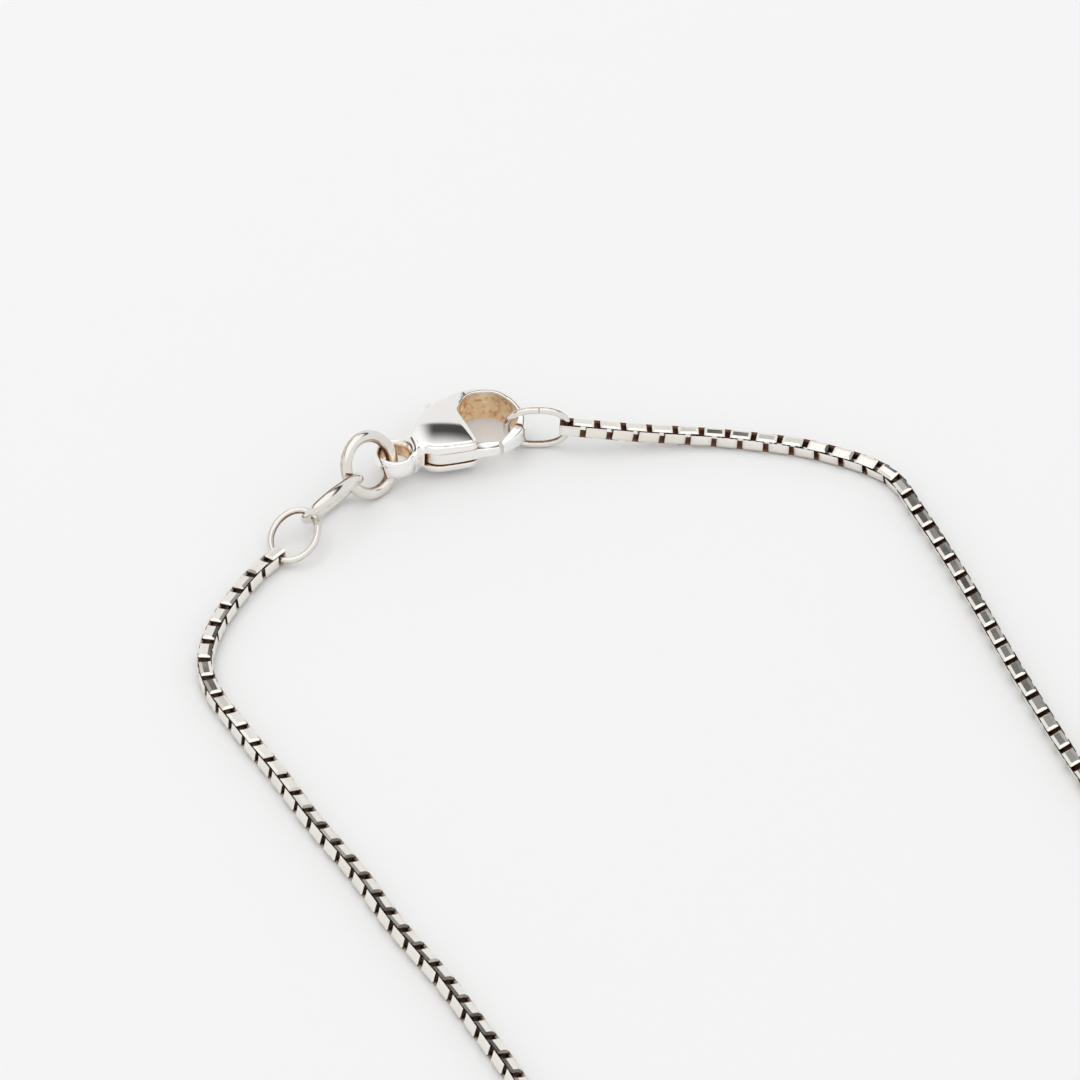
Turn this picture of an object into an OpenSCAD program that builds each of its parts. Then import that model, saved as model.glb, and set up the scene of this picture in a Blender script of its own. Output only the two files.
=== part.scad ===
// Silver box-chain necklace with a lobster clasp, oval end rings and a plain
// disc pendant, laid out in a loop on a flat surface.
// Millimetres, +Z up, the surface it lies on is Z = 0.

/* [Chain] */
// width of the box chain across its flats
chain_w = 1.36; // [1.3:0.02:1.36]
// distance from one link to the next
link_pitch = 1.15; // [1.13:0.005:1.16]
// outside length of one link
link_len = 1.787; // [1.74:0.001:1.80]
// thickness of the strip a link is folded from
link_t = 0.24; // [0.2:0.01:0.25]
// width of the flat band on a link's outer face
flat_w = 0.56; // [0.56:0.02:0.58]
// width of the folded end of a link
bar_w = 0.52; // [0.4:0.02:0.54]

/* [Rings] */
// outside length of an oval end ring
oval_len = 5.9; // [5.8:0.02:5.96]
// outside width of an oval end ring
oval_wid = 4.36; // [4.3:0.02:4.42]
// wire of the oval end rings
oval_wire = 0.6; // [0.5:0.02:0.62]
// outside length of the oval middle link
middle_len = 7.72; // [7.7:0.02:7.78]
// wire of the oval middle link
middle_wire = 0.66; // [0.6:0.02:0.68]
// width of the middle link's long sides, which are broader than its ends
middle_band = 1.1; // [0.7:0.02:1.1]
// outside diameter of the round jump ring
jump_od = 6; // [5.98:0.02:6.02]
// wire of the round jump ring
jump_wire = 1.04; // [0.96:0.02:1.04]

/* [Clasp] */
// thickness of the clasp over its two domed faces
clasp_t = 3.2; // [3:0.05:3.3]
// radius of the domed faces
dome_r = 24; // [20:1:30]
// gap between the two shells, which the trigger works in
slot_t = 1.32; // [1.26:0.02:1.36]
// thickness of the trigger
trigger_t = 1.18; // [1:0.02:1.2]
// diameter of the pin the trigger turns on
pin_d = 0.9; // [0.8:0.02:0.92]
// outside diameter of the loop at the clasp's tail
tail_od = 3.9; // [3.7:0.05:4]
// hole through the tail loop
tail_hole = 2.4; // [2.36:0.02:2.44]
// thickness of the tail loop
tail_t = 1.8; // [1.6:0.05:1.9]

/* [Pendant] */
// diameter of the disc
disc_d = 16; // [12:0.5:20]
// thickness of the disc at its middle
disc_t = 1.8; // [1.5:0.1:2]
// length of the bail, over its two round ends
bail_len = 5.4; // [5.2:0.1:5.6]
// width of the bail along the chain
bail_w = 1.6; // [1.4:0.1:1.8]

/* [Shown] */
// node to draw, or all of them

/* [Hidden] */

silver = [0.86, 0.85, 0.82];
silver_warm = [0.84, 0.81, 0.75];
silver_dark = [0.62, 0.58, 0.52];

// the whole layout is moved so that the origin is under the middle of its box
shift = [-23.65, 66.72, 0];

// the long run of the loop leaves the clasp along this heading
run_ang = -66.5;
function run(s, q, z) =
  [s * cos(run_ang) - q * sin(run_ang), s * sin(run_ang) + q * cos(run_ang), z];

// the chain's route, from the left end ring round the front to the right one;
// lift sets the links that much up and forward of it, so that they lie on the surface
lift = [0, -0.08, 0.07];
zt = 0.69;
zb = 1.24;
left_q = -27.2;
right_q = 28.8;
mid_q = 0.8;
arc_r = 24;
arc_s = 117;
left_pts = [
  [-22.36, -1.92, 0.72], [-23.7, -3.65, 0.71], [-24.9, -5.7, 0.7], [-26, -8, zt], [-26.85, -10.2, zt],
  [-27.45, -12.4, zt], [-27.8, -14.7, zt], [-27.65, -16.85, zt], [-27, -19.05, zt], [-26, -21.1, zt],
  [-24.9, -23.05, zt], [-23.75, -25.05, zt], [-22.6, -27, zt], [-21.4, -29, zt], [-20.1, -31.4, zt],
  [-18.7, -34, zt], [-17.2, -36.55, zt], [-15.7, -38.95, zt], [-14.3, -41.3, zt],
  [-13, -43.8, zt], [-11.4, -46.8, zt], [-9.55, -49.8, zt], [-7.6, -52.9, zt],
  [-5.8, -56.2, zt], [-4, -59.6, zt], [-2.1, -63.3, zt]];
right_pts = [
  [43.85, -28.5, zt], [42.9, -26.0, zt], [41.4, -21.8, zt], [39.9, -17.5, zt],
  [38.4, -13.0, zt], [36.9, -8.3, zt], [35.3, -3.6, zt], [33.7, 0.8, zt],
  [32.3, 4.4, zt], [31.3, 7.0, zt], [30.1, 9.0, zt], [28.3, 10.45, zt],
  [26.0, 11.65, zt], [22.6, 12.95, zt], [19.1, 13.7, zt], [15.6, 14.2, 0.75],
  [12.2, 14.25, 1.0], [8.7, 14.05, 1.42], [5.4, 13.85, 1.92], [2.6, 13.92, 2.18]];
front_pts = concat(
  [for (s = [62:5:112]) run(s, left_q, zt)],
  [for (a = [0:10:80]) run(arc_s + arc_r * sin(a), left_q + arc_r * (1 - cos(a)), a < 55 ? zt : a < 65 ? 0.78 : a < 75 ? 0.98 : 1.16)],
  [for (q = [-3.2, 0.8, 4.8]) run(arc_s + arc_r, q, zb)],
  [for (a = [80:-10:0]) run(arc_s + arc_r * sin(a), right_q - arc_r * (1 - cos(a)), a < 55 ? zt : a < 65 ? 0.78 : a < 75 ? 0.98 : 1.16)],
  [for (s = [112:-5:52]) run(s, right_q, zt)]);
route = concat(left_pts, front_pts, right_pts);

// a smooth curve through the route's points
last = len(route) - 1;
function rp(k) = k < 0 ? 2 * route[0] - route[1]
  : k > last ? 2 * route[last] - route[last - 1] : route[k];
function blend(a, b, c, d, t) =
  0.5 * (2 * b + (c - a) * t + (2 * a - 5 * b + 4 * c - d) * t * t + (3 * b - a - 3 * c + d) * t * t * t);
function along(t) = let (k = max(0, min(last - 1, floor(t))))
  blend(rp(k - 1), rp(k), rp(k + 1), rp(k + 2), t - k);

// length along the curve, so that the links sit at equal steps
fine = 16;
walk = [for (i = [0:last * fine]) along(i / fine)];
gone = [for (i = 0, s = 0; i <= last * fine;
  s = s + (i < last * fine ? norm(walk[i + 1] - walk[i]) : 0), i = i + 1) s];
ruler = [for (i = [0:last * fine]) [gone[i], i / fine]];
total = gone[last * fine];
links = 2 * round((total / link_pitch + 1) / 2);
step = total / (links - 1);
function spot(i) = along(lookup(i * step, ruler));
function lead(i) = let (d = spot(min(links - 1, i + 1)) - spot(max(0, i - 1))) d / norm(d);

// roll of the chain about its own line, by distance from either end
roll_left = [[0, 2], [3, 9], [12, 4], [22, -6], [36, -15], [70, -17]];
roll_right = [[0, 2], [9, 0.4], [16, -3], [27, -14], [34, -22], [70, -22]];
function roll(i) = i < links / 2
  ? lookup(i * step, roll_left) : lookup((links - 1 - i) * step, roll_right);

// one link: two faced plates joined by two folded ends
module link() {
  h = chain_w / 2;
  c = 0.09;
  x = link_len / 2;
  rotate([90, 0, 0]) linear_extrude(bar_w, center = true) difference() {
    polygon([[-x, -h + c], [-x + c, -h], [x - c, -h], [x, -h + c],
      [x, h - c], [x - c, h], [-x + c, h], [-x, h - c]]);
    square([link_len - 2 * link_t, chain_w - 2 * link_t], center = true);
  }
  for (m = [0, 1]) mirror([0, 0, m])
    rotate([90, 0, 90]) linear_extrude(link_len - 0.08, center = true)
      polygon([[-flat_w / 2, h], [-flat_w / 2 - 0.23, h - 0.08], [-flat_w / 2 - 0.08, h - link_t],
        [flat_w / 2 + 0.08, h - link_t], [flat_w / 2 + 0.23, h - 0.08], [flat_w / 2, h]]);
}

// links a to b, counted from the left end ring; every second one is turned a quarter
module strand(a, b) {
  for (i = [a:b]) let (p = spot(i), d = lead(i))
    translate(p + shift + lift) rotate([0, -asin(d[2]), atan2(d[1], d[0])])
      rotate([roll(i) + 90 * (i % 2), 0, 0]) link();
}

// where the chain is divided, counted in links from its left and its right end
cut_side = 18;
cut_lower = 40;
cut_sway = 65;
cut_fore = 81;
cut_turn = 97;
cut_front = 112;
side_r = 29;
lower_r = 51;
sway_r = 76;
fore_r = 92;
turn_r = 108;
front_r = 123;
// the link at the middle of the front, where the bail hangs
apex = round(gone[(len(left_pts) + 21) * fine] / step);
function ri(k) = links - 1 - k;

// an oval ring of wire lying in the XY plane, its sides a little fuller than an ellipse;
// with a band its long sides are broader than its ends
module oval(l, w, wire, e = 0.84, band = 0) {
  a = (l - wire) / 2;
  b = (w - wire) / 2;
  n = 56;
  m = 18;
  function mid(k) = let (c = cos(360 * k / n), s = sin(360 * k / n))
    [a * sign(c) * pow(abs(c), e), b * sign(s) * pow(abs(s), e), 0];
  function out(k) = let (d = mid(k + 0.5) - mid(k - 0.5)) [d[1], -d[0], 0] / norm(d);
  function tall(k) = (wire + max(0, band - wire) * pow(abs(sin(360 * k / n)), 1.5)) / 2;
  polyhedron(
    [for (k = [0:n - 1], j = [0:m - 1])
      mid(k) + wire / 2 * out(k) * cos(360 * j / m) + [0, 0, tall(k) * sin(360 * j / m)]],
    [for (k = [0:n - 1], j = [0:m - 1]) let (k2 = (k + 1) % n, j2 = (j + 1) % m)
      [k * m + j, k * m + j2, k2 * m + j2, k2 * m + j]], convexity = 6);
}

// the clasp's own frame: its origin is at the tail and the claw is along +X
clasp_at = [-12.3, 9.5, 2.25];
clasp_yaw = 25;
clasp_tilt = 1.4;
module at_clasp() translate(clasp_at + shift) rotate([0, clasp_tilt, clasp_yaw]) children();

// a smooth closed outline through hand-placed points
function ring_pt(p, k) = p[(k + len(p)) % len(p)];
function soft(p, m) = [for (k = [0:len(p) - 1], j = [0:m - 1])
  blend(ring_pt(p, k - 1), ring_pt(p, k), ring_pt(p, k + 1), ring_pt(p, k + 2), j / m)];
function soft_open(p, m) = concat([for (k = [0:len(p) - 2], j = [0:m - 1])
  blend(k == 0 ? p[0] : p[k - 1], p[k], p[k + 1], k + 2 > len(p) - 1 ? p[k + 1] : p[k + 2], j / m)], [p[len(p) - 1]]);

pivot = [3.4, 0.9];
// middle of the tail loop
tail_at = [-0.15, 0.07];
gate_r = 6.13;
body_back = [[1.3, 1.3], [2.4, 2.0], [3.2, 2.95], [4.2, 3.95], [5.2, 4.65], [6.3, 5.15], [7.4, 5.4], [8.0, 5.42]];
body_front = [[6.8, -1.7], [6.5, -2.15], [6.0, -2.25], [4.5, -2.0], [3.1, -1.72], [2.35, -1.2], [2.0, -0.75], [1.3, -1.2]];
hook_out = [[7.0, 5.36], [8.5, 5.4], [9.7, 5.1], [10.8, 4.6], [11.75, 3.75], [12.35, 2.7], [12.6, 1.5],
  [12.5, 0.4], [12.1, -0.6], [11.4, -1.5], [10.3, -2.1], [9.45, -2.4], [8.58, -2.66]];
hook_in = [[9.0, -1.96], [9.63, -1.6], [10.27, -1.15], [10.95, -0.6], [11.45, 0.0], [11.6, 0.8],
  [11.4, 1.9], [10.85, 3.0], [9.9, 3.75], [8.6, 3.85], [7.6, 3.35], [7.0, 3.0]];
cavity = [[2.3, -4], [9.5, -4], [7.2, 2.5], [6.7, 3.1], [6.4, 4.2], [6.3, 7], [3.2, 7], [3.2, 3.2],
  [2.55, 2.2], [2.1, 1.0], [2.1, -0.5]];
lever = [[2.45, -0.4], [2.5, -0.95], [3.3, -1.62], [4.8, -1.98], [6.5, -2.22], [8.42, -2.58],
  [8.72, -2.2], [8.88, -1.82], [7.9, -1.5], [6.6, -1.15], [5.6, -0.5], [4.9, 0.4], [4.7, 1.5], [5.0, 3.0],
  [5.55, 4.4], [5.75, 5.2], [5.6, 5.75], [5.1, 5.85], [4.75, 5.45], [4.45, 4.3], [3.9, 3.0], [3.0, 2.1],
  [2.5, 1.2]];

module clasp_body() color(silver) at_clasp() difference() {
  union() {
    intersection() {
      linear_extrude(clasp_t, center = true)
        polygon(concat(soft_open(body_back, 3), [[8.0, 3.6], [7.4, 3.25], [6.86, 2.8], [6.85, 0.2]], soft_open(body_front, 3)));
      translate([5, 1.2, clasp_t / 2 - dome_r]) sphere(dome_r, $fn = 128);
      translate([5, 1.2, dome_r - clasp_t / 2]) sphere(dome_r, $fn = 128);
    }
    intersection() {
      linear_extrude(clasp_t, center = true)
        polygon(concat(soft_open(hook_out, 3), soft_open(hook_in, 3)));
      rotate([90, 0, 90]) linear_extrude(14)
        polygon([[-3, 0.58], [3.6, clasp_t / 2 - 0.15], [6, clasp_t / 2 - 0.25],
          [6, 0.25 - clasp_t / 2], [3.6, 0.15 - clasp_t / 2], [-3, -0.58]]);
    }
    translate(tail_at) rotate_extrude($fn = 64) polygon([[0, -tail_t / 2], [tail_od / 2 - 0.3, -tail_t / 2], [tail_od / 2, -tail_t / 2 + 0.4],
      [tail_od / 2, tail_t / 2 - 0.4], [tail_od / 2 - 0.3, tail_t / 2], [0, tail_t / 2]]);
    linear_extrude(tail_t, center = true) polygon([[0.5, 1.5], [2.4, 1.9], [2.2, -0.9], [0.5, -1.6]]);
  }
  translate(tail_at) rotate_extrude($fn = 64) polygon([[0, -tail_t], [tail_hole / 2 + 0.5, -tail_t], [tail_hole / 2 + 0.25, -tail_t / 2],
    [tail_hole / 2, -0.45], [tail_hole / 2, 0.45], [tail_hole / 2 + 0.25, tail_t / 2], [tail_hole / 2 + 0.5, tail_t], [0, tail_t]]);
  linear_extrude(slot_t, center = true) polygon(cavity);
  translate(pivot) cylinder(2.1, d = pin_d, center = true, $fn = 48);
  translate([pivot[0] + 0.65 * cos(210), pivot[1] + 0.65 * sin(210), 0.3]) cylinder(0.78, r = 0.2, $fn = 24);
}

module clasp_pin() color(silver_dark) at_clasp()
  translate(pivot) cylinder(2.1, d = pin_d, center = true, $fn = 48);

module clasp_spring() color(silver_dark) at_clasp() translate([pivot[0], pivot[1], 0.34]) {
  rotate([0, 0, 210]) rotate_extrude(angle = 310, $fn = 48) translate([0.65, 0]) circle(r = 0.09, $fn = 24);
  translate([0.65 * cos(210), 0.65 * sin(210), -0.13]) cylinder(0.79, r = 0.12, $fn = 24);
  translate([0.65 * cos(160), 0.65 * sin(160), -0.55]) cylinder(0.68, r = 0.12, $fn = 24);
}

module clasp_trigger() color(silver) at_clasp() difference() {
  linear_extrude(trigger_t, center = true) polygon(soft(lever, 2));
  translate(pivot) cylinder(3, d = pin_d + 0.06, center = true, $fn = 48);
  translate([pivot[0], pivot[1], 0.17]) cylinder(1, r = 0.83, $fn = 48);
  translate([pivot[0] + 0.65 * cos(160), pivot[1] + 0.65 * sin(160), -0.3]) cylinder(1, r = 0.14, $fn = 24);
}

module jump_ring() color(silver) translate([-14.66, 8.09, 2.72] + shift) rotate([119.9, 18.9, -124.4])
  rotate_extrude($fn = 96) translate([(jump_od - jump_wire) / 2, 0]) circle(d = jump_wire, $fn = 32);

module middle_link() color(silver_warm) translate([-17.73, 4.2, 2.2] + shift) rotate([-56, 8.1, 55.1])
  oval(middle_len, oval_wid - 0.06, middle_wire, 0.84, middle_band);

module left_ring() color(silver_warm) translate([-20.9, 0.14, 1.52] + shift) rotate([-177.3, 17.2, -107])
  oval(oval_len - 0.12, oval_wid + 0.2, oval_wire, 1);

module right_ring() color(silver) translate([-0.25, 13.87, 2.2] + shift) rotate([90, 0, 1])
  oval(oval_len, oval_wid, oval_wire);

module left_upper() color(silver_warm) strand(0, cut_side);
module left_side() color(silver_warm) strand(cut_side + 1, cut_lower);
module left_lower() color(silver_warm) strand(cut_lower + 1, cut_sway);
module left_sway() color(silver_warm) strand(cut_sway + 1, cut_fore);
module left_fore() color(silver_warm) strand(cut_fore + 1, cut_turn);
module left_turn() color(silver_warm) strand(cut_turn + 1, cut_front);
module front_left() color(silver_warm) strand(cut_front + 1, apex - 5);
module front_middle() color(silver_warm) strand(apex - 4, apex + 4);
module front_right() color(silver_warm) strand(apex + 5, ri(front_r + 1));
module right_turn() color(silver) strand(ri(front_r), ri(turn_r + 1));
module right_fore() color(silver) strand(ri(turn_r), ri(fore_r + 1));
module right_sway() color(silver) strand(ri(fore_r), ri(sway_r + 1));
module right_lower() color(silver) strand(ri(sway_r), ri(lower_r + 1));
module right_side() color(silver) strand(ri(lower_r), ri(side_r + 1));
module right_upper() color(silver) strand(ri(side_r), ri(0));

// the pendant's frame: the bail's chain end is its origin, the disc is along +X
module at_pendant() translate(run(arc_s + arc_r, mid_q, 0) + shift) rotate([0, 0, run_ang]) children();
bail_r = 1.32;
bail_in = 0.87;
bail_x = bail_len - 2 * bail_r;
ring_r = 2;
ring_wire = 0.6;
ring_x = bail_x + 0.15 + ring_r;
eye_r = 0.95;
eye_wire = 0.66;
eye_x = ring_x + ring_r + 0.25;
disc_x = eye_x + eye_r + disc_d / 2 - 0.05;

module bail() color(silver) at_pendant() translate([-0.05, 0, bail_r]) rotate([90, 0, 0])
  linear_extrude(bail_w, center = true) difference() {
    union() {
      circle(bail_r, $fn = 64);
      translate([bail_x, 0]) circle(bail_r, $fn = 64);
      translate([0, -bail_r]) square([bail_x, 2 * bail_r]);
    }
    circle(bail_in, $fn = 64);
    translate([bail_x, 0]) circle(bail_in, $fn = 64);
    translate([0, -bail_in]) square([bail_x, 2 * bail_in]);
  }

module pendant_ring() color(silver) at_pendant() translate([ring_x, 0, bail_r])
  rotate_extrude($fn = 64) translate([ring_r, 0]) circle(d = ring_wire, $fn = 24);

module pendant_eye() color(silver) at_pendant() translate([eye_x, 0, bail_r]) rotate([90, 0, 0])
  rotate_extrude($fn = 64) translate([eye_r, 0]) circle(d = eye_wire, $fn = 24);

module pendant_disc() color(silver) at_pendant() translate([disc_x, 0, 0]) difference() {
  rotate_extrude($fn = 128) polygon(concat(
    [[0, 0], [disc_d / 2 - 0.25, 0], [disc_d / 2, 0.25], [disc_d / 2, 0.95], [disc_d / 2 - 0.2, 1.15], [disc_d / 2 - 1.0, 1.15]],
    [for (a = [1:-0.1:0]) [a * (disc_d / 2 - 1.2), 1.15 + (disc_t - 1.15) * (1 - a * a)]]));
  translate([-disc_d / 2 - eye_r + 0.05, 0, bail_r]) rotate([90, 0, 0])
    rotate_extrude($fn = 64) translate([eye_r, 0]) circle(d = eye_wire, $fn = 24);
}

clasp_body();
clasp_pin();
clasp_spring();
clasp_trigger();
jump_ring();
middle_link();
left_ring();
right_ring();
left_upper();
left_side();
left_lower();
left_sway();
left_fore();
left_turn();
right_upper();
right_side();
right_lower();
right_sway();
right_fore();
right_turn();
front_left();
front_middle();
front_right();
bail();
pendant_ring();
pendant_eye();
pendant_disc();
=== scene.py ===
import math

import bpy
import numpy as np
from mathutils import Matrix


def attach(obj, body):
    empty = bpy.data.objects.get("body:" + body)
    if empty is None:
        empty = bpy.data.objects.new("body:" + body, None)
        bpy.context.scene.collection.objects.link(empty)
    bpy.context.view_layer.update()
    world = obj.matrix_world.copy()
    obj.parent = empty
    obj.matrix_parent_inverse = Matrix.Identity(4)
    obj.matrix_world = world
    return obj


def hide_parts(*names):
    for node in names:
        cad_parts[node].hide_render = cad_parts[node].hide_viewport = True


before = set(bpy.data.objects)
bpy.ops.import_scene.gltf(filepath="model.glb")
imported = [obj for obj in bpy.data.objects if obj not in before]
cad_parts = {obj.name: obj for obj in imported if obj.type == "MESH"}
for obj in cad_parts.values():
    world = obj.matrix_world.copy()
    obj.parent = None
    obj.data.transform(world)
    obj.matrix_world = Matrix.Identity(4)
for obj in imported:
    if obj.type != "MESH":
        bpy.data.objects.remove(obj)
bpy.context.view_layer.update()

import openvdb
from mathutils import Vector

MM = 0.001
SHIFT = np.array([-23.65, 66.72, 0.0])
LIFT = np.array([0.0, -0.08, 0.07])
rng = np.random.default_rng(7)


# ---------------------------------------------------------------- helpers
def rot(a, b, c):
    a, b, c = np.radians([a, b, c])
    rx = np.array([[1, 0, 0], [0, np.cos(a), -np.sin(a)], [0, np.sin(a), np.cos(a)]])
    ry = np.array([[np.cos(b), 0, np.sin(b)], [0, 1, 0], [-np.sin(b), 0, np.cos(b)]])
    rz = np.array([[np.cos(c), -np.sin(c), 0], [np.sin(c), np.cos(c), 0], [0, 0, 1]])
    return rz @ ry @ rx


def smooth(a, b, x):
    t = np.clip((x - a) / (b - a), 0, 1)
    return t * t * (3 - 2 * t)


def mesh_object(name, verts, quads, material, attrs=None, flat=False):
    verts = np.ascontiguousarray(verts * MM, dtype=np.float32)
    quads = np.ascontiguousarray(quads, dtype=np.int32)
    k = quads.shape[1]
    me = bpy.data.meshes.new(name)
    me.vertices.add(len(verts))
    me.vertices.foreach_set("co", verts.ravel())
    me.loops.add(quads.size)
    me.loops.foreach_set("vertex_index", quads.ravel())
    me.polygons.add(len(quads))
    me.polygons.foreach_set("loop_start", np.arange(0, quads.size, k, dtype=np.int32))
    me.polygons.foreach_set("use_smooth", np.full(len(quads), not flat, dtype=bool))
    me.update(calc_edges=True)
    me.validate()
    for key, val in (attrs or {}).items():
        at = me.attributes.new(key, "FLOAT", "POINT")
        at.data.foreach_set("value", np.ascontiguousarray(val, dtype=np.float32))
    me.materials.append(material)
    ob = bpy.data.objects.new(name, me)
    bpy.context.scene.collection.objects.link(ob)
    return ob


def settle(ob, body, node):
    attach(ob, body)
    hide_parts(node)
    return ob


# ---------------------------------------------------------------- materials
def new_material(name):
    m = bpy.data.materials.new(name)
    m.use_nodes = True
    nt = m.node_tree
    nt.nodes.clear()
    out = nt.nodes.new("ShaderNodeOutputMaterial")
    bsdf = nt.nodes.new("ShaderNodeBsdfPrincipled")
    nt.links.new(bsdf.outputs[0], out.inputs[0])
    return m, nt, bsdf


def silver(name, clean, warm, deep, rough, scratch=0.25, mottled=0.25):
    """Polished silver: clean faces, a warm film, and deep brown where the mesh attribute is high; that brown is
    tarnish together with painted shade and painted reflection.
    """
    m, nt, bsdf = new_material(name)
    N, L = nt.nodes.new, nt.links.new
    tc = N("ShaderNodeTexCoord")
    att = N("ShaderNodeAttribute")
    att.attribute_name = "tarnish_and_shade"
    film = N("ShaderNodeTexNoise")
    film.inputs["Scale"].default_value = 420
    film.inputs["Detail"].default_value = 5
    film.inputs["Roughness"].default_value = 0.6
    L(tc.outputs["Object"], film.inputs["Vector"])
    grime = N("ShaderNodeTexNoise")
    grime.inputs["Scale"].default_value = 2600
    grime.inputs["Detail"].default_value = 4
    L(tc.outputs["Object"], grime.inputs["Vector"])
    # a thin warm film in patches
    fr = N("ShaderNodeMapRange")
    fr.inputs["From Min"].default_value = 0.45
    fr.inputs["From Max"].default_value = 0.75
    fr.inputs["To Max"].default_value = mottled
    L(film.outputs["Fac"], fr.inputs["Value"])
    c1 = N("ShaderNodeMix")
    c1.data_type = "RGBA"
    c1.inputs["A"].default_value = (*clean, 1)
    c1.inputs["B"].default_value = (*warm, 1)
    L(fr.outputs["Result"], c1.inputs["Factor"])
    # brown in the recesses, which is tarnish together with painted shade, its edge broken up by the grime noise
    ad = N("ShaderNodeMath")
    ad.operation = "MULTIPLY_ADD"
    L(grime.outputs["Fac"], ad.inputs[0])
    ad.inputs[1].default_value = 0.5
    L(att.outputs["Fac"], ad.inputs[2])
    tr = N("ShaderNodeMapRange")
    tr.interpolation_type = "SMOOTHSTEP"
    tr.inputs["From Min"].default_value = 0.4
    tr.inputs["From Max"].default_value = 1.15
    L(ad.outputs[0], tr.inputs["Value"])
    ramp = N("ShaderNodeValToRGB")
    e = ramp.color_ramp.elements
    e[0].position, e[0].color = 0.0, (*warm, 1)
    e[1].position, e[1].color = 1.0, (*deep, 1)
    mid = ramp.color_ramp.elements.new(0.45)
    mid.color = (0.5 * warm[0] + 0.3 * deep[0], 0.36 * warm[1] + 0.3 * deep[1], 0.22 * warm[2] + 0.3 * deep[2], 1)
    L(tr.outputs["Result"], ramp.inputs["Fac"])
    c2 = N("ShaderNodeMix")
    c2.data_type = "RGBA"
    L(tr.outputs["Result"], c2.inputs["Factor"])
    L(c1.outputs["Result"], c2.inputs["A"])
    L(ramp.outputs["Color"], c2.inputs["B"])
    L(c2.outputs["Result"], bsdf.inputs["Base Color"])
    # roughness: polish wear, plus duller where the brown tarnish and painted shade lie
    rr = N("ShaderNodeMapRange")
    rr.inputs["From Min"].default_value = 0.3
    rr.inputs["From Max"].default_value = 0.75
    rr.inputs["To Min"].default_value = rough * 0.75
    rr.inputs["To Max"].default_value = rough * 1.5
    L(film.outputs["Fac"], rr.inputs["Value"])
    ra = N("ShaderNodeMath")
    ra.operation = "MULTIPLY_ADD"
    L(tr.outputs["Result"], ra.inputs[0])
    ra.inputs[1].default_value = 0.3
    L(rr.outputs["Result"], ra.inputs[2])
    L(ra.outputs[0], bsdf.inputs["Roughness"])
    # hairline scratches
    mp = N("ShaderNodeMapping")
    mp.inputs["Scale"].default_value = (1.0, 0.08, 1.0)
    mp.inputs["Rotation"].default_value = (0.2, 0.1, 0.6)
    L(tc.outputs["Object"], mp.inputs["Vector"])
    sc = N("ShaderNodeTexNoise")
    sc.inputs["Scale"].default_value = 9000
    sc.inputs["Detail"].default_value = 3
    L(mp.outputs["Vector"], sc.inputs["Vector"])
    bp = N("ShaderNodeBump")
    bp.inputs["Strength"].default_value = scratch
    bp.inputs["Distance"].default_value = 0.000004
    L(sc.outputs["Fac"], bp.inputs["Height"])
    L(bp.outputs["Normal"], bsdf.inputs["Normal"])
    bsdf.inputs["Metallic"].default_value = 1.0
    return m


mat_clasp = silver("clasp_silver", (0.93, 0.92, 0.90), (0.88, 0.84, 0.77), (0.13, 0.055, 0.02), 0.05, 0.1)
mat_ring = silver("ring_silver", (0.82, 0.795, 0.75), (0.70, 0.63, 0.54), (0.19, 0.095, 0.05), 0.075, 0.12, 0.5)
mat_chain = silver("chain_silver", (0.90, 0.875, 0.82), (0.82, 0.755, 0.65), (0.15, 0.065, 0.037), 0.12, 0.2, 0.5)
mat_steel = silver("spring_wire", (0.55, 0.50, 0.43), (0.42, 0.33, 0.22), (0.08, 0.04, 0.02), 0.3)


def copper_inside(m):
    """Adds a tan, unpolished film where the tan attribute is high."""
    nt = m.node_tree
    N, L = nt.nodes.new, nt.links.new
    bsdf = next(n for n in nt.nodes if n.type == "BSDF_PRINCIPLED")
    old = bsdf.inputs["Base Color"].links[0].from_socket
    oldr = bsdf.inputs["Roughness"].links[0].from_socket
    att = N("ShaderNodeAttribute")
    att.attribute_name = "tan"
    tc = N("ShaderNodeTexCoord")
    no = N("ShaderNodeTexNoise")
    no.inputs["Scale"].default_value = 1900
    no.inputs["Detail"].default_value = 6
    L(tc.outputs["Object"], no.inputs["Vector"])
    ramp = N("ShaderNodeValToRGB")
    e = ramp.color_ramp.elements
    e[0].position, e[0].color = 0.26, (0.58, 0.30, 0.12, 1)
    e[1].position, e[1].color = 0.70, (0.97, 0.80, 0.60, 1)
    md = ramp.color_ramp.elements.new(0.5)
    md.color = (0.93, 0.67, 0.41, 1)
    L(no.outputs["Fac"], ramp.inputs["Fac"])
    mx = N("ShaderNodeMix")
    mx.data_type = "RGBA"
    L(att.outputs["Fac"], mx.inputs["Factor"])
    L(old, mx.inputs["A"])
    L(ramp.outputs["Color"], mx.inputs["B"])
    L(mx.outputs["Result"], bsdf.inputs["Base Color"])
    ra = N("ShaderNodeMath")
    ra.operation = "MULTIPLY_ADD"
    L(att.outputs["Fac"], ra.inputs[0])
    ra.inputs[1].default_value = 0.28
    L(oldr, ra.inputs[2])
    L(ra.outputs[0], bsdf.inputs["Roughness"])


copper_inside(mat_clasp)

# ---------------------------------------------------------------- chain
ZT, ZB = 0.69, 1.24
RUN = math.radians(-66.5)
LQ, RQ, ARC_R, ARC_S = -27.2, 28.8, 24.0, 117.0


def run(s, q, z):
    return [s * math.cos(RUN) - q * math.sin(RUN), s * math.sin(RUN) + q * math.cos(RUN), z]


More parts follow.
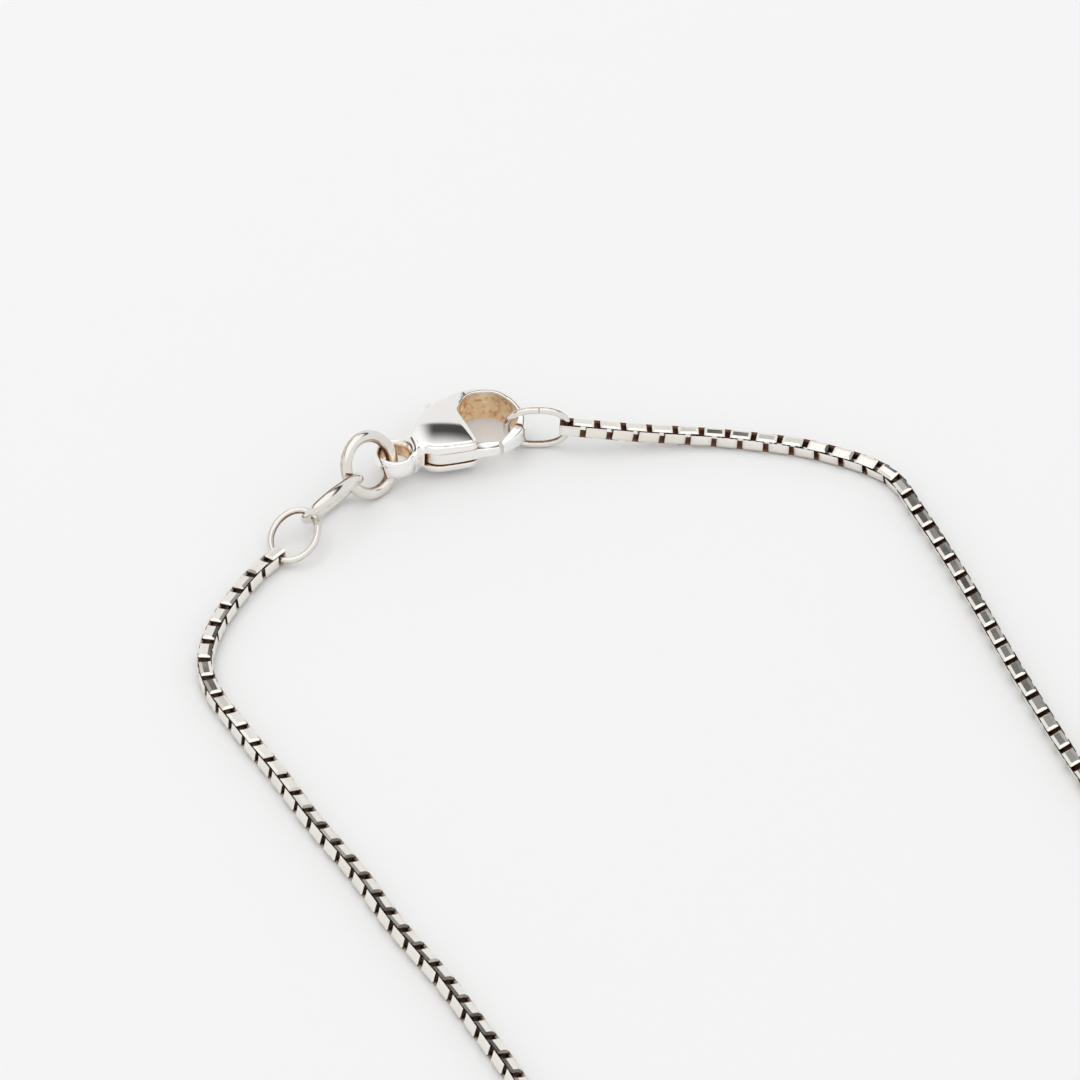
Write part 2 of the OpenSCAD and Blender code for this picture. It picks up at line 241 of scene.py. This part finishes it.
left_pts = [
    [-22.36, -1.92, 0.72], [-23.7, -3.65, 0.71], [-24.9, -5.7, 0.7], [-26, -8, ZT], [-26.85, -10.2, ZT],
    [-27.45, -12.4, ZT], [-27.8, -14.7, ZT], [-27.65, -16.85, ZT], [-27, -19.05, ZT], [-26, -21.1, ZT],
    [-24.9, -23.05, ZT], [-23.75, -25.05, ZT], [-22.6, -27, ZT], [-21.4, -29, ZT], [-20.1, -31.4, ZT],
    [-18.7, -34, ZT], [-17.2, -36.55, ZT], [-15.7, -38.95, ZT], [-14.3, -41.3, ZT],
    [-13, -43.8, ZT], [-11.4, -46.8, ZT], [-9.55, -49.8, ZT], [-7.6, -52.9, ZT],
    [-5.8, -56.2, ZT], [-4, -59.6, ZT], [-2.1, -63.3, ZT]]
right_pts = [
    [43.85, -28.5, ZT], [42.9, -26.0, ZT], [41.4, -21.8, ZT], [39.9, -17.5, ZT],
    [38.4, -13.0, ZT], [36.9, -8.3, ZT], [35.3, -3.6, ZT], [33.7, 0.8, ZT],
    [32.3, 4.4, ZT], [31.3, 7.0, ZT], [30.1, 9.0, ZT], [28.3, 10.45, ZT],
    [26.0, 11.65, ZT], [22.6, 12.95, ZT], [19.1, 13.7, ZT], [15.6, 14.2, 0.75],
    [12.2, 14.25, 1.0], [8.7, 14.05, 1.42], [5.4, 13.85, 1.92], [2.6, 13.92, 2.18]]


def arc_z(a):
    return ZT if a < 55 else 0.78 if a < 65 else 0.98 if a < 75 else 1.16


def arc(a, q0, sign):
    r = math.radians(a)
    return run(ARC_S + ARC_R * math.sin(r), q0 + sign * ARC_R * (1 - math.cos(r)), arc_z(a))


front_pts = (
    [run(s, LQ, ZT) for s in range(62, 113, 5)]
    + [arc(a, LQ, 1) for a in range(0, 81, 10)]
    + [run(ARC_S + ARC_R, q, ZB) for q in (-3.2, 0.8, 4.8)]
    + [arc(a, RQ, -1) for a in range(80, -1, -10)]
    + [run(s, RQ, ZT) for s in range(112, 51, -5)])
route = np.array(left_pts + front_pts + right_pts, dtype=float)
last = len(route) - 1


def blend4(a, b, c, d, t):
    return 0.5 * (2 * b + (c - a) * t + (2 * a - 5 * b + 4 * c - d) * t * t + (3 * b - a - 3 * c + d) * t ** 3)


def rp(k):
    return 2 * route[0] - route[1] if k < 0 else 2 * route[last] - route[last - 1] if k > last else route[k]


def along(t):
    k = int(max(0, min(last - 1, math.floor(t))))
    return blend4(rp(k - 1), rp(k), rp(k + 1), rp(k + 2), t - k)


FINE = 16
walk = np.array([along(i / FINE) for i in range(last * FINE + 1)])
gone = np.r_[0, np.cumsum(np.linalg.norm(np.diff(walk, axis=0), axis=1))]
total = gone[-1]
links = 2 * int(round((total / 1.15 + 1) / 2))
step = total / (links - 1)
spot = np.array([along(np.interp(i * step, gone, np.arange(last * FINE + 1) / FINE)) for i in range(links)])
apex = int(round(gone[(len(left_pts) + 21) * FINE] / step))
roll_left = np.array([[0, 2], [3, 9], [12, 4], [22, -6], [36, -15], [70, -17]], dtype=float)
roll_right = np.array([[0, 2], [9, 0.4], [16, -3], [27, -14], [34, -22], [70, -22]], dtype=float)


def roll(i):
    if i < links / 2:
        return np.interp(i * step, roll_left[:, 0], roll_left[:, 1])
    return np.interp((links - 1 - i) * step, roll_right[:, 0], roll_right[:, 1])


def link_frame(i):
    d = spot[min(links - 1, i + 1)] - spot[max(0, i - 1)]
    d = d / np.linalg.norm(d)
    return rot(0, -math.degrees(math.asin(d[2])), math.degrees(math.atan2(d[1], d[0]))) @ rot(roll(i) + 90 * (i % 2), 0, 0)


def link_mesh():
    """One folded link: two hipped plates with bevelled edges and ends, joined by two narrow folds."""
    xf, yf, zf = 0.66, 0.25, 0.68          # the flat on top of a plate
    ys, zs = 0.52, 0.60                    # foot of the side bevels
    slope = 0.55                           # fall of the end bevels
    xs, xe = xf + (zf - zs) / slope, 0.8935
    ze = zf - slope * (xe - xf)
    ye = ze - 0.08
    yi, zi = 0.36, 0.44                    # inner face of a plate
    xb, yb = 0.6535, 0.26                  # inner face and half width of a fold
    faces = []

    def add(pts, darkening):
        darkening = [darkening] * len(pts) if np.isscalar(darkening) else darkening
        for k in range(1, len(pts) - 1):
            faces.append(((pts[0], pts[k], pts[k + 1]), (darkening[0], darkening[k], darkening[k + 1])))

    # brown per face: 0 on the flats, up to 1 on plate edges, end faces, folds and inner faces; tarnish together with
    # painted shade in the gaps between links
    add([(-xf, -yf, zf), (xf, -yf, zf), (xf, yf, zf), (-xf, yf, zf)], 0.0)
    for sy in (1, -1):
        o = 1 if sy == 1 else -1
        def face(pts, darkening, o=o):
            t = [darkening] * len(pts) if np.isscalar(darkening) else list(darkening)
            add(pts[::o], t[::o])
        face([(xf, sy * yf, zf), (xs, sy * ys, zs), (-xs, sy * ys, zs), (-xf, sy * yf, zf)], [0.0, 0.16, 0.16, 0.0])
        face([(xs, sy * ys, zs), (xe, sy * ye, ze), (xe, sy * yi, zi), (-xe, sy * yi, zi), (-xe, sy * ye, ze), (-xs, sy * ys, zs)],
             [0.75, 0.9, 1.0, 1.0, 0.9, 0.75])
    for sx in (1, -1):
        o = 1 if sx == 1 else -1
        def face(pts, darkening, o=o):
            t = [darkening] * len(pts) if np.isscalar(darkening) else list(darkening)
            add(pts[::o], t[::o])
        face([(sx * xf, -yf, zf), (sx * xs, -ys, zs), (sx * xe, -ye, ze), (sx * xe, ye, ze), (sx * xs, ys, zs), (sx * xf, yf, zf)],
             [0.0, 0.16, 0.3, 0.3, 0.16, 0.0])
        face([(sx * xe, -ye, ze), (sx * xe, -yi, zi), (sx * xe, yi, zi), (sx * xe, ye, ze)], [0.8, 1.0, 1.0, 0.8])
        face([(sx * xe, -yb, zi), (sx * xe, -yb, 0), (sx * xe, yb, 0), (sx * xe, yb, zi)], 1.0)
        face([(sx * xb, -yb, zi), (sx * xb, yb, zi), (sx * xb, yb, 0), (sx * xb, -yb, 0)], 1.0)
        face([(sx * xb, yb, zi), (sx * xe, yb, zi), (sx * xe, yb, 0), (sx * xb, yb, 0)], 1.0)
        face([(sx * xb, -yb, zi), (sx * xb, -yb, 0), (sx * xe, -yb, 0), (sx * xe, -yb, zi)], 1.0)
    for x0, x1, y0, y1 in ((-xb, xb, -yi, yi), (xb, xe, yb, yi), (xb, xe, -yi, -yb), (-xe, -xb, yb, yi), (-xe, -xb, -yi, -yb)):
        add([(x0, y0, zi), (x0, y1, zi), (x1, y1, zi), (x1, y0, zi)], 1.0)
    V = np.array([p for tri, _ in faces for p in tri])
    T = np.array([t for _, tt in faces for t in tt])
    V = np.concatenate([V, V * np.array([1, -1, -1])])
    T = np.concatenate([T, T])
    return V, np.arange(len(V)).reshape(-1, 3), T


LV, LQD, LT = link_mesh()
jit = rng.normal(0, 0.7, (links, 3))
tone = rng.random(links)


def strand(name, a, b, body):
    V, Q, T, R = [], [], [], []
    for i in range(a, b + 1):
        M = link_frame(i) @ rot(*(jit[i] if a < i < b else 0 * jit[i]))
        V.append(LV @ M.T + spot[i] + SHIFT + LIFT)
        Q.append(LQD + len(LV) * (i - a))
        # the brown tarnish and painted shade is scaled down on the left strands and up on the rest
        T.append(np.asarray(LT) * (0.7 if name.startswith("left") else 1.1))
        R.append(np.full(len(LV), tone[i]))
    ob = mesh_object(name + "_links", np.concatenate(V), np.concatenate(Q), mat_chain,
                     {"tarnish_and_shade": np.concatenate(T), "tone": np.concatenate(R)}, flat=True)
    return settle(ob, body, name)


def ri(k):
    return links - 1 - k


CS, CL, CW, CF, CT, CN = 18, 40, 65, 81, 97, 112
RS, RL, RW, RF, RT, RN = 29, 51, 76, 92, 108, 123
for name, a, b, body in [
        ("left_upper", 0, CS, "necklace"), ("left_side", CS + 1, CL, "side"), ("left_lower", CL + 1, CW, "lower"),
        ("left_sway", CW + 1, CF, "left_sway"), ("left_fore", CF + 1, CT, "fore"), ("left_turn", CT + 1, CN, "turn"),
        ("front_left", CN + 1, apex - 5, "front"), ("front_middle", apex - 4, apex + 4, "front"),
        ("front_right", apex + 5, ri(RN + 1), "front"), ("right_turn", ri(RN), ri(RT + 1), "turn"),
        ("right_fore", ri(RT), ri(RF + 1), "fore"), ("right_sway", ri(RF), ri(RW + 1), "right_sway"),
        ("right_lower", ri(RW), ri(RL + 1), "lower"), ("right_side", ri(RL), ri(RS + 1), "side"),
        ("right_upper", ri(RS), ri(0), "necklace")]:
    strand(name, a, b, body)


# ---------------------------------------------------------------- rings
def tube(a, b, wire, e=1.0, n=168, m=30, seam=None, flat=0.0, band=0.0):
    """A closed ring of wire lying in XY; seam is the angle of the joint in the wire, in degrees.
    With a band its long sides are broader than its ends."""
    th = 2 * np.pi * np.arange(n) / n
    if seam is not None:
        s = math.radians(seam)
        th = np.sort(np.r_[th, s + np.array([-0.03, -0.018, -0.012, -0.006, 0.0, 0.006, 0.012, 0.018, 0.03])])
        n = len(th)
    c, s_ = np.cos(th), np.sin(th)
    mid = np.stack([a * np.sign(c) * np.abs(c) ** e, b * np.sign(s_) * np.abs(s_) ** e, 0 * c], 1)
    d = np.roll(mid, -1, 0) - np.roll(mid, 1, 0)
    out = np.stack([d[:, 1], -d[:, 0], 0 * c], 1)
    out /= np.linalg.norm(out, axis=1)[:, None]
    r = np.full(n, wire / 2)
    darkening = np.zeros(n)
    if seam is not None:
        g = np.exp(-((th - math.radians(seam)) / 0.0075) ** 2)
        r = r * (1 - 0.13 * g)
        darkening = 1.2 * g
    j = 2 * np.pi * np.arange(m) / m
    cj, sj = np.cos(j), np.sin(j)
    if flat:
        k = 1 / (np.abs(cj) ** (2 + 2 * flat) + np.abs(sj) ** (2 + 2 * flat)) ** (1 / (2 + 2 * flat))
        cj, sj = cj * k, sj * k
    tall = r + max(0.0, band - wire) / 2 * np.abs(np.sin(th)) ** 1.5
    V = mid[:, None] + r[:, None, None] * out[:, None] * cj[None, :, None]
    V[:, :, 2] += tall[:, None] * sj[None, :]
    # brown on the inner side of the wire and a fainter line on its outer side: painted shade and painted reflection of
    # the dark surroundings, with some tarnish
    T = np.maximum(darkening[:, None], (0.78 * smooth(0.62, 0.96, -cj) + 0.5 * smooth(0.86, 1.0, cj))[None, :])
    if band:
        # darker edges along the broad sides, stronger on the +z face: painted shade with some tarnish
        T = np.maximum((0.85 * smooth(0.62, 0.82, sj) + 0.3 * smooth(0.7, 0.95, -sj))[None, :] * smooth(0.3, 0.5, np.abs(np.sin(th)))[:, None],
                       (0.4 * smooth(0.62, 0.96, -cj))[None, :] + darkening[:, None])
    k, q = np.meshgrid(np.arange(n), np.arange(m), indexing="ij")
    k2, q2 = (k + 1) % n, (q + 1) % m
    Q = np.stack([k * m + q, k * m + q2, k2 * m + q2, k2 * m + q], -1).reshape(-1, 4)
    return V.reshape(-1, 3), Q, T.ravel()


def ring(name, body, slot, at, eul, *args, **kw):
    V, Q, T = tube(*args, **kw)
    ob = mesh_object(name + "_wire", V @ rot(*eul).T + np.array(at) + SHIFT, Q, mat_ring, {"tarnish_and_shade": T})
    return settle(ob, body, name)


ring("jump_ring", "jump_ring", "polished_silver", (-14.66, 8.09, 2.72), (119.9, 18.9, -124.4), 2.48, 2.48, 1.04, n=240, m=40)
ring("middle_link", "middle_link", "warm_silver", (-17.73, 4.2, 2.2), (-56, 8.1, 55.1), 3.53, 1.82, 0.66, 0.84, band=1.1)
ring("left_ring", "left_ring", "warm_silver", (-20.9, 0.14, 1.52), (-177.3, 17.2, -107), 2.59, 1.98, 0.6, 1.0)
ring("right_ring", "right_ring", "polished_silver", (-0.25, 13.87, 2.2), (90, 0, 1), 2.65, 1.88, 0.6, 0.84, seam=88)


# ---------------------------------------------------------------- clasp
AT = np.array([-12.3, 9.5, 2.25]) + SHIFT
RC = rot(0, 1.4, 25)


def soft(p, m, closed=True):
    p = np.array(p, float)
    n = len(p)
    out = []
    for k in range(n if closed else n - 1):
        g = (lambda i: p[i % n]) if closed else (lambda i: p[max(0, min(n - 1, i))])
        for j in range(m):
            out.append(blend4(g(k - 1), g(k), g(k + 1), g(k + 2), j / m))
    if not closed:
        out.append(p[-1])
    return np.array(out)


def seg_dist(U, V, a, b):
    d = b - a
    t = np.clip(((U - a[0]) * d[0] + (V - a[1]) * d[1]) / max(d @ d, 1e-12), 0, 1)
    return np.hypot(U - a[0] - t * d[0], V - a[1] - t * d[1])


def poly_sdf(U, V, poly):
    dist = np.full(U.shape, 1e9)
    inside = np.zeros(U.shape, bool)
    n = len(poly)
    for k in range(n):
        a, b = poly[k], poly[(k + 1) % n]
        dist = np.minimum(dist, seg_dist(U, V, a, b))
        if a[1] != b[1]:
            hit = ((a[1] > V) != (b[1] > V)) & (U < (b[0] - a[0]) * (V - a[1]) / (b[1] - a[1]) + a[0])
            inside ^= hit
    return np.where(inside, -dist, dist)


def line_dist(U, V, pts):
    d = np.full(U.shape, 1e9)
    for a, b in zip(pts[:-1], pts[1:]):
        d = np.minimum(d, seg_dist(U, V, np.array(a), np.array(b)))
    return d


def smin(a, b, k):
    h = np.maximum(k - np.abs(a - b), 0) / k
    return np.minimum(a, b) - h * h * k * 0.25


def smax(a, b, k):
    return -smin(-a, -b, k)


H = 0.05
gu, gv, gw = np.arange(-2.4, 13.2, H), np.arange(-3.3, 6.5, H), np.arange(-1.95, 1.96, H)
GU, GV = np.meshgrid(gu, gv, indexing="ij")
GW = gw[None, None, :]


def rounded(d2, top, low, r):
    """A plan outline given thickness: top above the middle plane, low below it, edges rounded to r."""
    qx = d2[:, :, None] + r
    qy = np.where(GW > 0, GW - top[:, :, None], -GW - low[:, :, None]) + r
    return np.minimum(np.maximum(qx, qy), 0) + np.hypot(np.maximum(qx, 0), np.maximum(qy, 0)) - r


outer_back = [[1.3, 0.9], [1.6, 1.25], [2.25, 2.1], [2.9, 2.8], [3.55, 3.37], [4.8, 4.22], [6.2, 4.82], [7.4, 5.02],
              [8.35, 5.05], [9.13, 4.98], [10.15, 4.65], [10.95, 4.2], [11.62, 3.5], [12.08, 2.57], [12.34, 1.58],
              [12.42, 0.7], [12.32, -0.1], [12.0, -0.8], [11.4, -1.5], [10.4, -2.08], [9.45, -2.42], [8.58, -2.68]]
outer_front = [[6.8, -1.9], [6.5, -2.2], [6.0, -2.28], [4.5, -2.05], [3.1, -1.75], [2.35, -1.2], [2.0, -0.75], [1.3, -1.2]]
claw_in = [[9.0, -1.98], [9.63, -1.6], [10.27, -1.15], [10.95, -0.6], [11.45, 0.0], [11.72, 0.75], [11.68, 1.56], [11.41, 2.41],
           [10.88, 3.35], [10.16, 3.87], [9.32, 4.11], [8.53, 4.06], [7.9, 3.72], [7.42, 3.31]]
claw_edge = [[7.0, 2.9], [6.78, 2.45], [6.72, 1.6], [6.73, 0.2], [6.74, -1.5], [6.74, -4.0]]
cavity = [[2.3, -4], [9.5, -4], [7.2, 2.5], [6.7, 3.1], [6.4, 4.2], [6.3, 7], [3.2, 7], [3.2, 3.2],
          [2.55, 2.2], [2.1, 1.0], [2.1, -0.5]]
lever = [[2.45, -0.4], [2.5, -0.95], [3.3, -1.62], [4.8, -1.98], [6.5, -2.22], [8.42, -2.58],
         [8.72, -2.2], [8.88, -1.82], [7.9, -1.5], [6.6, -1.15], [5.6, -0.5], [4.9, 0.4], [4.7, 1.5], [5.0, 3.0],
         [5.45, 4.3], [5.6, 4.8], [5.5, 5.22], [5.15, 5.34], [4.85, 5.05], [4.45, 4.3], [3.9, 3.0], [3.0, 2.1],
         [2.5, 1.2]]
lip_line = [(2.42, -0.8), (2.8, -1.15), (3.6, -1.5), (4.41, -1.74), (5.54, -1.98), (6.2, -2.02), (6.62, -1.82)]


def claw_top(u, v):
    return np.interp(v, [-3, -2.2, -0.8, 0.8, 2.4, 3.6, 6], [0.52, 0.62, 0.92, 1.2, 1.4, 1.46, 1.46])


def claw_low(u, v):
    return np.interp(v, [-3, -2.2, -0.8, 0.8, 2.4, 3.6, 6], [0.62, 0.72, 1.05, 1.4, 1.65, 1.74, 1.74])


def clasp_body():
    f = np.float32
    outer = np.concatenate([soft(outer_back, 5, False), [[8.0, -2.62], [7.4, -2.5]], soft(outer_front, 5, False)])
    d_out = poly_sdf(GU, GV, outer)
    rho2 = (GU - 5.0) ** 2 + (GV - 1.2) ** 2
    mix = smooth(6.2, 8.4, GU)
    top = (1 - mix) * (1.6 - rho2 / 48.0) + mix * claw_top(GU, GV)
    low = (1 - mix) * (1.64 - rho2 / 60.0) + mix * claw_low(GU, GV)
    groove = 0.085 * np.exp(-(line_dist(GU, GV, lip_line) / 0.08) ** 2)
    r = 0.5 - 0.14 * smooth(-0.5, -2.0, GV) * smooth(8.0, 9.0, GU)
    shell = rounded(d_out, top - groove, low - groove, r[:, :, None]).astype(f)
    claw = np.concatenate([soft(claw_in, 5, False), soft(claw_edge, 4, False), [[8.46, -4.0], [8.5, -2.86]]])
    d_claw = poly_sdf(GU, GV, claw)
    # cut the claw's opening straight through the shell, with softened edges
    d = smax(shell, -d_claw[:, :, None].astype(f), 0.09)
    rho = np.hypot(GU + 0.15, GV - 0.07)
    flat = np.full(GU.shape, 0.92)
    bead = ((np.abs(rho - 1.575) / 0.4)[:, :, None] ** 2 + np.abs(GW / 0.86) ** 2) ** 0.5
    tail = ((bead - 1) * 0.38).astype(f)
    neck_poly = np.array([[0.5, 1.3], [2.6, 1.9], [2.6, -0.9], [0.5, -1.45]])
    neck = rounded(poly_sdf(GU, GV, neck_poly), flat, flat, 0.35).astype(f)
    d = smin(d, smin(tail, neck, 0.2), 0.4)
    # the tail hole, flared at both ends
    rim = 1.2 + 0.28 * smooth(0.42, 0.95, np.abs(gw))
    d = smax(d, (rim[None, None, :] - rho[:, :, None]).astype(f), 0.06)
    # the slot the trigger works in
    slot = np.maximum(poly_sdf(GU, GV, soft(cavity, 1))[:, :, None], np.abs(GW) - 0.66)
    d = smax(d, -slot.astype(f), 0.05)
    # the pocket seen at the back corner of the claw
    pk = np.sqrt(((GU[:, :, None] - 7.95) / 0.5) ** 2 + ((GV[:, :, None] - 3.85) / 0.45) ** 2 + ((GW - 0.45) / 0.6) ** 2)
    d = smax(d, ((1 - pk) * 0.42).astype(f), 0.05)
    g = openvdb.FloatGrid()
    g.copyFromArray(np.ascontiguousarray(d, dtype=np.float32))
    P, Q = g.convertToQuads(isovalue=0.0)
    P = P * H + np.array([gu[0], gv[0], gw[0]])
    u, v, w = P[:, 0], P[:, 1], P[:, 2]
    din = line_dist(u, v, soft(claw_in, 5, False))
    edge = np.where(w > 0, w - claw_top(u, v), -w - claw_low(u, v))
    tan = (1 - smooth(0.05, 0.16, din)) * (1 - smooth(-0.26, -0.1, edge)) * smooth(7.0, 7.2, u) * smooth(-1.5, -0.2, v)
    incav = poly_sdf(u, v, soft(cavity, 1))
    inner = (1 - smooth(-0.03, 0.03, np.abs(w) - 0.66)) * (1 - smooth(-0.02, 0.12, incav)) * (1 - smooth(6.5, 6.8, u))
    r_ = np.hypot(u + 0.15, v - 0.07)
    hole = (1 - smooth(1.24, 1.40, r_)) * (1 - smooth(0.6, 0.86, np.abs(w)))
    pk = np.sqrt(((u - 7.95) / 0.5) ** 2 + ((v - 3.85) / 0.45) ** 2 + ((w - 0.45) / 0.6) ** 2)
    pocket = 1 - smooth(1.0, 1.14, pk)
    tan = np.maximum.reduce([tan, 0.9 * inner, hole, pocket])
    darkening = np.maximum.reduce([0.8 * inner, 0.6 * pocket, 0.45 * hole * smooth(0.1, -0.6, w),
                             0.5 * (1 - smooth(0.02, 0.08, line_dist(u, v, lip_line))) * (np.abs(w) > 0.8)])
    ob = mesh_object("clasp_shells", P @ RC.T + AT, Q, mat_clasp, {"tarnish_and_shade": darkening, "tan": tan})
    return settle(ob, "necklace", "clasp_body")


def clasp_trigger():
    poly = soft(lever, 5)
    # the gate's top and underside fall a little towards its front face
    thick = 0.585 - 0.16 * smooth(-1.2, -2.5, GV) * smooth(5.5, 7.5, GU)
    d = rounded(poly_sdf(GU, GV, poly), thick, thick, 0.09)
    g = openvdb.FloatGrid()
    g.copyFromArray(np.ascontiguousarray(d, dtype=np.float32))
    P, Q = g.convertToQuads(isovalue=0.0)
    P = P * H + np.array([gu[0], gv[0], gw[0]])
    u, v, w = P[:, 0], P[:, 1], P[:, 2]
    edge = smooth(0.46, 0.57, np.abs(w)) * (1 - smooth(6.6, 7.0, u))
    darkening = np.maximum(0.9 * edge, 0.7 * (1 - smooth(2.45, 2.75, u))) * (1 - smooth(4.0, 4.4, v))
    tan = np.maximum(0.6 * (1 - smooth(2.5, 2.9, u)), 0.5 * edge) * (1 - smooth(4.0, 4.4, v))
    ob = mesh_object("clasp_gate", P @ RC.T + AT, Q, mat_clasp, {"tarnish_and_shade": darkening, "tan": tan})
    return settle(ob, "trigger", "clasp_trigger")


clasp_body()
clasp_trigger()
for n in ("clasp_pin", "clasp_spring"):
    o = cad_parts[n]
    o.data.materials.clear()
    o.data.materials.append(mat_steel)

# ---------------------------------------------------------------- pendant
for n in ("bail", "pendant_ring", "pendant_eye", "pendant_disc"):
    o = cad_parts[n]
    o.data.materials.clear()
    o.data.materials.append(mat_ring)

# ---------------------------------------------------------------- floor, light, camera
sc = bpy.context.scene
sc.view_settings.view_transform = "Standard"
bpy.ops.mesh.primitive_plane_add(size=6)
floor = bpy.context.object
floor.name = "floor"
fm, fnt, fb = new_material("floor")
fb.inputs["Base Color"].default_value = (0.90, 0.90, 0.90, 1)
fb.inputs["Roughness"].default_value = 0.75
fb.inputs["Specular IOR Level"].default_value = 0.2
floor.data.materials.append(fm)

world = bpy.data.worlds.new("studio")
sc.world = world
world.use_nodes = True
wn, wl = world.node_tree.nodes, world.node_tree.links
wn.clear()
wo = wn.new("ShaderNodeOutputWorld")
bg = wn.new("ShaderNodeBackground")
wl.new(bg.outputs[0], wo.inputs[0])
tc = wn.new("ShaderNodeTexCoord")
sp = wn.new("ShaderNodeSeparateXYZ")
wl.new(tc.outputs["Generated"], sp.inputs[0])


def wmath(op, a, b=None):
    n = wn.new("ShaderNodeMath")
    n.operation = op
    for k, v in enumerate((a, b)):
        if v is None:
            continue
        if isinstance(v, (int, float)):
            n.inputs[k].default_value = v
        else:
            wl.new(v, n.inputs[k])
    return n.outputs[0]


def wstep(x, a, b):
    n = wn.new("ShaderNodeMapRange")
    n.interpolation_type = "SMOOTHSTEP"
    n.inputs["From Min"].default_value = math.radians(min(a, b))
    n.inputs["From Max"].default_value = math.radians(max(a, b))
    if a > b:
        n.inputs["To Min"].default_value = 1.0
        n.inputs["To Max"].default_value = 0.0
    wl.new(x, n.inputs["Value"])
    return n.outputs["Result"]


# direction as azimuth (0 away from the viewer, positive to the right) and elevation
azim = wmath("ARCTAN2", sp.outputs["X"], sp.outputs["Y"])
elev = wmath("ARCSINE", sp.outputs["Z"])
# white sweep low down, brighter towards the zenith
up = wn.new("ShaderNodeValToRGB")
el = up.color_ramp.elements
el[0].position, el[0].color = 0.0, (0.97, 0.97, 0.96, 1)
el[1].position, el[1].color = 1.0, (1.30, 1.30, 1.30, 1)
for p, v in ((0.6, 0.95), (0.82, 1.22)):
    x = up.color_ramp.elements.new(p)
    x.color = (v, v, v, 1)
wl.new(sp.outputs["Z"], up.inputs["Fac"])
# the dark room, seen between the sweep and the overhead light
band = wmath("MULTIPLY", wstep(elev, 37.5, 39.5), wstep(elev, 54, 43))
ahead = wmath("MULTIPLY", wstep(azim, -9, -3), wstep(azim, 95, 75))
aside = wmath("MULTIPLY", wstep(azim, -120, -100), wstep(azim, -24, -32))
gap = wmath("MULTIPLY", band, wmath("ADD", ahead, aside))
mx = wn.new("ShaderNodeMix")
mx.data_type = "RGBA"
wl.new(gap, mx.inputs["Factor"])
wl.new(up.outputs["Color"], mx.inputs["A"])
mx.inputs["B"].default_value = (0.07, 0.067, 0.064, 1)
wl.new(mx.outputs["Result"], bg.inputs["Color"])
bg.inputs["Strength"].default_value = 0.93


def area(name, loc, target, size, power):
    li = bpy.data.lights.new(name, "AREA")
    li.shape = "DISK"
    li.size = size
    li.energy = power
    ob = bpy.data.objects.new(name, li)
    sc.collection.objects.link(ob)
    ob.location = loc
    ob.rotation_mode = "QUATERNION"
    ob.rotation_quaternion = (Vector(target) - Vector(loc)).to_track_quat("-Z", "Y")
    return ob


focus = Vector(SHIFT * MM)
key = area("key", focus + Vector((-0.45, 0.35, 0.75)), focus, 0.7, 0.9)
key.visible_glossy = False

cam = bpy.data.cameras.new("camera")
co = bpy.data.objects.new("camera", cam)
sc.collection.objects.link(co)
cam.lens = 197.27
cam.sensor_width = 36
cam.clip_start, cam.clip_end = 0.01, 20
E, D = math.radians(40.07), 0.502987
at = Vector((0, 0, 0.0011)) + focus
co.location = at + Vector((0, -D * math.cos(E), D * math.sin(E)))
co.rotation_mode = "QUATERNION"
co.rotation_quaternion = (at - co.location).to_track_quat("-Z", "Y")
sc.camera = co
